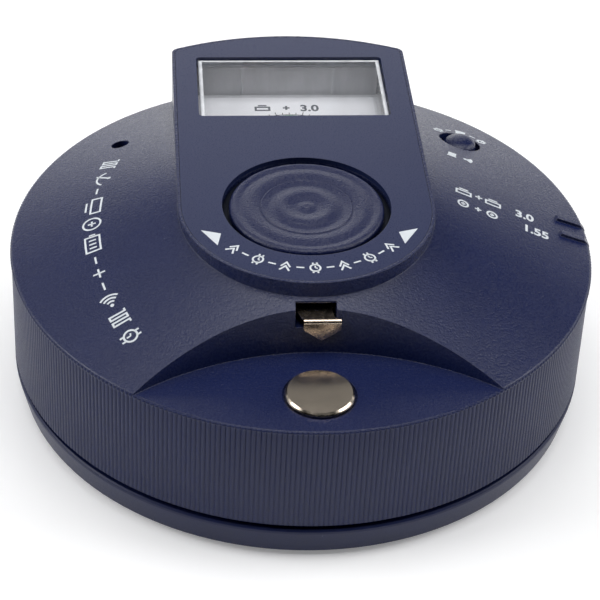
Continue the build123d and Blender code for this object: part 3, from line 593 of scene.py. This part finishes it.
# ---------------------------------------------------------------- button cap
def domed_button():
    """Smooth domed cap with its collar and stem."""
    top = BUTTON_HIGH.z
    low = BUTTON_LOW.z
    dome = [(0.0, top), (1.1, top - 0.06), (2.0, top - 0.26), (2.6, top - 0.58), (2.95, top - 1.0),
            (BUTTON_CAP_R, top - 1.7)]
    profile = smooth_profile(dome, 5)
    profile += [(BUTTON_CAP_R, low + 0.6), (BUTTON_FLANGE_R, low + 0.55), (BUTTON_FLANGE_R, low + 0.05)]
    profile += [(BUTTON_STEM_R, low + 0.05), (BUTTON_STEM_R, low), (0.0, low)]
    button = lathe("domed_button", list(reversed(profile)), (BUTTON_X, BUTTON_Y),
                   MATERIALS["case_plastic"], 96, "test_button")
    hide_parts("test_button")
    smooth_by_angle(button, 50)


domed_button()


# ---------------------------------------------------------------- printed marks
class Surface:
    """Drops plan points onto CAD nodes, so that print follows their real surface."""

    def __init__(self, *nodes):
        verts = []
        faces = []
        for node in nodes:
            mesh = NODES[node].data
            start = len(verts)
            verts += [v.co.copy() for v in mesh.vertices]
            faces += [[start + i for i in p.vertices] for p in mesh.polygons]
        self.tree = BVHTree.FromPolygons(verts, faces)

    def z(self, x, y):
        hit = self.tree.ray_cast(Vector((x * MM, y * MM, 0.06)), Vector((0, 0, -1)))
        return hit[0].z / MM


DECK = Surface("top_case", "fascia")
DIAL = Surface("scale_plate")
INK = 0.03                                # ink stands this much above the surface
INK_STEP = 0.9                            # longest side of a piece of ink, so that it follows a curve


def thick_line(points, width, closed=False):
    """Quads of a stroke along 2D points with mitred corners."""
    pts = [Vector(p) for p in points]
    count = len(pts)
    left = []
    right = []
    for i, p in enumerate(pts):
        before = pts[i - 1] if closed or i else p
        after = pts[(i + 1) % count] if closed or i < count - 1 else p
        d0 = (p - before).normalized() if p != before else (after - p).normalized()
        d1 = (after - p).normalized() if p != after else d0
        across = Vector((-(d0 + d1).y, (d0 + d1).x)).normalized()
        reach = width / 2 / max(0.5, across.dot(Vector((-d0.y, d0.x))))
        left.append(p + across * reach)
        right.append(p - across * reach)
    quads = []
    for i in range(count if closed else count - 1):
        j = (i + 1) % count
        quads.append([left[i], right[i], right[j], left[j]])
    return quads


def arc_points(cx, cy, r, start, stop, steps):
    angles = [math.radians(start + (stop - start) * i / steps) for i in range(steps + 1)]
    return [(cx + r * math.cos(a), cy + r * math.sin(a)) for a in angles]


def ring(cx, cy, r, width, steps=28):
    return thick_line(arc_points(cx, cy, r, 0, 360, steps)[:-1], width, closed=True)


def dot(cx, cy, r, steps=10):
    edge = arc_points(cx, cy, r, 0, 360, steps)[:-1]
    return [[Vector((cx, cy)), Vector(a), Vector(b)] for a, b in zip(edge, edge[1:] + edge[:1])]


def divided(polygons, longest):
    """Quads and triangles cut until no side is longer than a limit, so print can follow a curve."""
    out = []
    todo = [list(p) for p in polygons]
    while todo:
        poly = todo.pop()
        if len(poly) != 4:
            out.append(poly)
            continue
        a, b, c, d = poly
        if max((b - a).length, (c - d).length) > longest:
            m, n = (a + b) / 2, (d + c) / 2
            todo += [[a, m, n, d], [m, b, c, n]]
        elif max((c - b).length, (d - a).length) > longest:
            m, n = (b + c) / 2, (a + d) / 2
            todo += [[a, b, m, n], [n, m, c, d]]
        else:
            out.append(poly)
    return out


def printed(name, polygons, place, surface, material=None, body=CASE):
    """Thin closed ink film from 2D polygons, put on a surface by place(u, v) -> (x, y)."""
    verts = []
    faces = []
    for poly in divided(polygons, INK_STEP):
        plan = [place(p[0], p[1]) for p in poly]
        area = sum(p[0] * q[1] - q[0] * p[1] for p, q in zip(plan, plan[1:] + plan[:1]))
        if area < 0:
            plan.reverse()
        heights = [surface.z(*p) for p in plan]
        start = len(verts)
        count = len(plan)
        verts += [(*p, z + INK) for p, z in zip(plan, heights)]
        verts += [(*p, z - INK) for p, z in zip(plan, heights)]
        faces.append(tuple(range(start, start + count)))
        faces.append(tuple(reversed(range(start + count, start + 2 * count))))
        for i in range(count):
            j = (i + 1) % count
            faces.append((start + i, start + count + i, start + count + j, start + j))
    return piece(name, verts, faces, material or PRINT_WHITE, body, smooth=False)


def straight(x0, y0, degrees=0.0):
    """Placement along a straight line of print."""
    c, s = math.cos(math.radians(degrees)), math.sin(math.radians(degrees))
    return lambda u, v: (x0 + u * c - v * s, y0 + u * s + v * c)


def round_the(centre, base_r, start_deg, clockwise=True, outward=True):
    """Placement along an arc of print: u runs along the base line, v away from it."""
    turn = -1 if clockwise else 1
    rise = 1 if outward else -1

    def place(u, v):
        a = math.radians(start_deg) + turn * u / base_r
        r = base_r + rise * v
        return centre[0] + r * math.cos(a), centre[1] + r * math.sin(a)

    return place


# pictograms one unit high, drawn with one stroke width
def moved(polygons, dx, dy=0.0, scale=1.0):
    return [[Vector((p[0] * scale + dx, p[1] * scale + dy)) for p in poly] for poly in polygons]


def watch_icon(w):
    """Wristwatch: round case, two hands, and strap stubs above and below."""
    shape = ring(0.36, 0.5, 0.32, w)
    for tip in ((0.36, 0.70), (0.50, 0.44)):
        shape += thick_line([(0.36, 0.5), tip], w * 0.8)
    for x in (0.22, 0.50):
        shape += thick_line([(x, 1.0), (x, 0.80)], w) + thick_line([(x, 0.0), (x, 0.20)], w)
    return shape


def pulse_icon(w):
    """Stepping pulses."""
    return thick_line([(0, 0.1), (0.16, 0.1), (0.16, 0.9), (0.36, 0.9), (0.36, 0.1), (0.56, 0.1),
                       (0.56, 0.9), (0.76, 0.9), (0.76, 0.1), (0.92, 0.1)], w)


def cell_icon(w):
    """Coin cell seen from above, with a plus sign."""
    shape = ring(0.44, 0.5, 0.44, w)
    return shape + thick_line([(0.24, 0.5), (0.64, 0.5)], w) + thick_line([(0.44, 0.3), (0.44, 0.7)], w)


def flat_cell_icon(w):
    """Coin cell seen from the side."""
    shape = thick_line([(0.0, 0.12), (1.2, 0.12), (1.2, 0.62), (0.0, 0.62)], w, closed=True)
    return shape + thick_line([(0.22, 0.88), (0.98, 0.88)], w)


def battery_icon(w):
    """Battery lying down, with charge bars."""
    shape = thick_line([(0.05, 0.14), (1.15, 0.14), (1.15, 0.86), (0.05, 0.86)], w, closed=True)
    shape += thick_line([(1.29, 0.34), (1.29, 0.66)], w)
    for x in (0.32, 0.6, 0.88):
        shape += thick_line([(x, 0.32), (x, 0.68)], w)
    return shape


def plus_icon(w):
    return thick_line([(0.0, 0.5), (0.6, 0.5)], w) + thick_line([(0.3, 0.2), (0.3, 0.8)], w)


def dash_icon(w):
    return thick_line([(0.0, 0.5), (0.5, 0.5)], w)


def needle_icon(w):
    """Meter arc with a needle."""
    shape = thick_line(arc_points(0.5, 0.12, 0.62, 155, 25, 12), w)
    return shape + thick_line([(0.5, 0.12), (0.78, 0.84)], w) + dot(0.5, 0.12, w * 1.1)


def wave_icon(w):
    """Sound waves spreading from a point."""
    shape = dot(0.08, 0.5, w)
    for r in (0.26, 0.46, 0.66):
        shape += thick_line(arc_points(0.08, 0.5, r, -42, 42, 8), w)
    return shape


def chevron_icon(w):
    """Two chevrons pointing away from the base line."""
    shape = thick_line([(0.0, 0.42), (0.3, 0.86), (0.6, 0.42)], w)
    return shape + thick_line([(0.0, 0.06), (0.3, 0.5), (0.6, 0.06)], w)


def icon_row(icons, height, length, stroke):
    """Pictograms side by side, spread so that the row has the given length."""
    shapes = [icon(stroke / height) for icon in icons]
    widths = [max(p[0] for poly in shape for p in poly) * height for shape in shapes]
    gap = (length - sum(widths)) / (len(shapes) - 1)
    out = []
    x = 0.0
    for shape, wide in zip(shapes, widths):
        out += moved(shape, x, 0.0, height)
        x += wide + gap
    return out


def text_shape(body, height, weight=0.0):
    """Digits as polygons, from the built-in font, with their lower left corner at the origin."""
    curve = bpy.data.curves.new("digits", "FONT")
    curve.body = body
    curve.size = height / 0.73
    curve.offset = weight
    holder = bpy.data.objects.new("digits", curve)
    bpy.context.scene.collection.objects.link(holder)
    mesh = bpy.data.meshes.new_from_object(holder.evaluated_get(bpy.context.evaluated_depsgraph_get()))
    shape = [[Vector(mesh.vertices[i].co[:2]) for i in p.vertices] for p in mesh.polygons]
    bpy.data.objects.remove(holder)
    bpy.data.curves.remove(curve)
    bpy.data.meshes.remove(mesh)
    return shape


def deck_print():
    """Long row of pictograms on the left of the deck, on a flatter arc than the rim."""
    icons = [watch_icon, pulse_icon, wave_icon, dash_icon, plus_icon, dash_icon, battery_icon, cell_icon,
             flat_cell_icon, dash_icon, needle_icon, pulse_icon]
    centre = (26.9, -2.2)
    base_r = 62.7
    start, stop = 207.5, 161.0
    row = icon_row(icons, 3.5, math.radians(start - stop) * base_r, 0.34)
    printed("deck_pictograms", row, round_the(centre, base_r, start), DECK)


def platform_print():
    """Two triangles and a row of pictograms in front of the well."""
    for side in (-1, 1):
        corners = [Vector((side * x, y)) for x, y in ((18.7, -13.0), (15.3, -14.0), (16.0, -17.4))]
        name = "triangle_left" if side < 0 else "triangle_right"
        printed(name, [corners], straight(0, 0), DECK)
    icons = 3 * [chevron_icon, dash_icon, watch_icon, dash_icon] + [chevron_icon]
    base_r = 19.75
    start, stop = -139.0, -40.0
    row = icon_row(icons, 2.9, math.radians(stop - start) * base_r, 0.34)
    place = round_the((0, WELL_Y), base_r, start, clockwise=False, outward=False)
    printed("platform_pictograms", row, place, DECK)


def between(left, right):
    """Placement and length of a straight row from its first to its last base point."""
    run = Vector(right) - Vector(left)
    return straight(*left, math.degrees(math.atan2(run.y, run.x))), run.length


def selector_print():
    """Cell pictograms and the two voltages beside the selector marks."""
    rows = (("3v", flat_cell_icon, 2.2, (27.6, 1.8), (35.8, 0.6)),
            ("1v5", cell_icon, 2.0, (27.4, -2.2), (34.6, -3.3)))
    for name, icon, height, left, right in rows:
        place, length = between(left, right)
        printed("print_cell_" + name, icon_row([icon, plus_icon, icon], height, length, 0.36), place, DECK)
    values = (("3v", "3.0", (38.4, 0.1), (42.2, -0.4)), ("1v5", "1.55", (39.2, -3.8), (44.3, -4.6)))
    for name, value, left, right in values:
        place = between(left, right)[0]
        printed("print_value_" + name, text_shape(value, 2.1, 0.09), place, DECK)


def button_print():
    """Pictograms behind and in front of the test button."""
    base_r = 4.6
    start, stop = 138.0, 22.0
    row = icon_row([watch_icon, dash_icon, pulse_icon, dash_icon, watch_icon], 1.9,
                   math.radians(start - stop) * base_r, 0.36)
    printed("print_behind_button", row, round_the((BUTTON_X, BUTTON_Y), base_r, start), DECK)
    place, length = between((27.9, 16.5), (32.6, 15.4))
    printed("print_before_button", icon_row([pulse_icon, wave_icon], 1.9, length, 0.36), place, DECK)


def dial_print():
    """Scale arc, ticks, zones and numbers on the meter plate."""
    r = 11.2                              # radius of the scale's arc

    def place(u, v):
        a = math.radians(90 - u)
        return DIAL_CENTRE.x + (r + v) * math.cos(a), DIAL_CENTRE.y + (r + v) * math.sin(a)

    def band(start, stop, low, high):
        steps = 10
        cells = []
        for i in range(steps):
            u0 = start + (stop - start) * i / steps
            u1 = start + (stop - start) * (i + 1) / steps
            cells.append([Vector((u0, low)), Vector((u1, low)), Vector((u1, high)), Vector((u0, high))])
        return cells

    lines = band(-40, 40, -0.12, 0.0)
    for i in range(13):
        u = -39 + 6.5 * i
        tall = 0.95 if i % 4 == 0 else 0.6
        lines.append([Vector(p) for p in ((u - 0.35, 0), (u + 0.35, 0), (u + 0.35, tall), (u - 0.35, tall))])
    printed("dial_scale", lines, place, DIAL, PRINT_BLACK)
    printed("dial_zone_low", band(-40, -14, -0.75, -0.3), place, DIAL, ZONE_RED)
    printed("dial_zone_good", band(-12, 40, -0.75, -0.3), place, DIAL, ZONE_GREEN)
    for i, value in enumerate(("0", "1", "2", "3")):
        u = -39 + 26 * i
        shape = moved(text_shape(value, 1.05), -0.4)
        x, y = place(u, -2.05)
        printed("dial_number_" + value, shape, straight(x, y, -u), DIAL, PRINT_BLACK)
    row = icon_row([flat_cell_icon, plus_icon], 2.2, 6.6, 0.42) + moved(text_shape("3.0", 2.2, 0.09), 8.6)
    left_end = straight(DIAL_CENTRE.x - 6.4, DIAL_CENTRE.y + 12.4)
    printed("dial_caption", row, left_end, DIAL, PRINT_GREY)


deck_print()
platform_print()
selector_print()
button_print()
dial_print()


# ---------------------------------------------------------------- studio
def make_floor():
    """Plain pale floor, a little self-lit so that it stays as bright as a lit paper sweep."""
    size = 6.0
    mesh = bpy.data.meshes.new("floor")
    corners = [(x * size, y * size, 0) for x, y in ((-1, -1), (1, -1), (1, 1), (-1, 1))]
    mesh.from_pydata(corners, [], [(0, 1, 2, 3)])
    floor = bpy.data.objects.new("floor", mesh)
    bpy.context.scene.collection.objects.link(floor)
    material, shader = new_material("floor_white")
    tree = Tree(material)
    paper = tree.noise(60.0, 2.0)
    white = tree.ramp(paper, [(0.3, (0.86, 0.86, 0.87)), (0.7, (0.88, 0.88, 0.88))])
    tree.link(white, shader.inputs["Base Color"])
    shader.inputs["Roughness"].default_value = 0.9
    shader.inputs["Specular IOR Level"].default_value = 0.0
    shader.inputs["Emission Color"].default_value = (1, 1, 1, 1)
    shader.inputs["Emission Strength"].default_value = 0.22
    mesh.materials.append(material)


def make_softbox(name, azimuth, elevation, size, strength, distance=1.3):
    """Square softbox aimed at the tester: azimuth 0 is behind it (+Y), 90 is on its right."""
    light = bpy.data.lights.new(name, "AREA")
    light.shape = "SQUARE"
    light.size = size
    light.energy = strength * math.pi * size * size
    lamp = bpy.data.objects.new(name, light)
    a, e = math.radians(azimuth), math.radians(elevation)
    towards = Vector((math.sin(a) * math.cos(e), math.cos(a) * math.cos(e), math.sin(e)))
    lamp.location = towards * distance
    lamp.rotation_mode = "QUATERNION"
    lamp.rotation_quaternion = towards.to_track_quat("Z", "Y")
    bpy.context.scene.collection.objects.link(lamp)


def make_world(strength):
    """White backdrop: bright low down behind the tester, dark overhead and in front."""
    world = bpy.data.worlds.new("studio")
    bpy.context.scene.world = world
    world.use_nodes = True
    nodes = world.node_tree.nodes
    links = world.node_tree.links
    coordinates = nodes.new("ShaderNodeTexCoord")
    direction = nodes.new("ShaderNodeSeparateXYZ")
    links.new(coordinates.outputs["Generated"], direction.inputs["Vector"])
    product = nodes.new("ShaderNodeMath")
    product.operation = "MULTIPLY"
    for axis, start, stop, first, last in (("Z", 0.14, 0.50, strength, 0.0), ("Y", -0.3, 0.5, 0.0, 1.0)):
        fade = nodes.new("ShaderNodeMapRange")
        fade.interpolation_type = "SMOOTHSTEP"
        fade.inputs["From Min"].default_value = start
        fade.inputs["From Max"].default_value = stop
        fade.inputs["To Min"].default_value = first
        fade.inputs["To Max"].default_value = last
        links.new(direction.outputs[axis], fade.inputs["Value"])
        links.new(fade.outputs["Result"], product.inputs[0 if axis == "Z" else 1])
    links.new(product.outputs["Value"], nodes["Background"].inputs["Strength"])
    nodes["Background"].inputs["Color"].default_value = (1, 1, 1, 1)


# name, azimuth, elevation, size in m, strength
SOFTBOXES = (
    ("softbox_top", 0, 90, 0.9, 3.6),
    ("softbox_left", -90, 35, 0.7, 5.4),
    ("softbox_right", 90, 35, 0.7, 4.6),
    ("softbox_right_high", 90, 62, 0.7, 0.95),
    ("reflector_back", 0, 22, 0.6, 1.2),
    ("reflector_back_high", 0, 42, 0.6, 0.22),
    ("reflector_back_left", -50, 45, 0.7, 0.8),
)

make_floor()
make_world(1.2)
for row in SOFTBOXES:
    make_softbox(*row)
bpy.context.scene.view_settings.view_transform = "Standard"
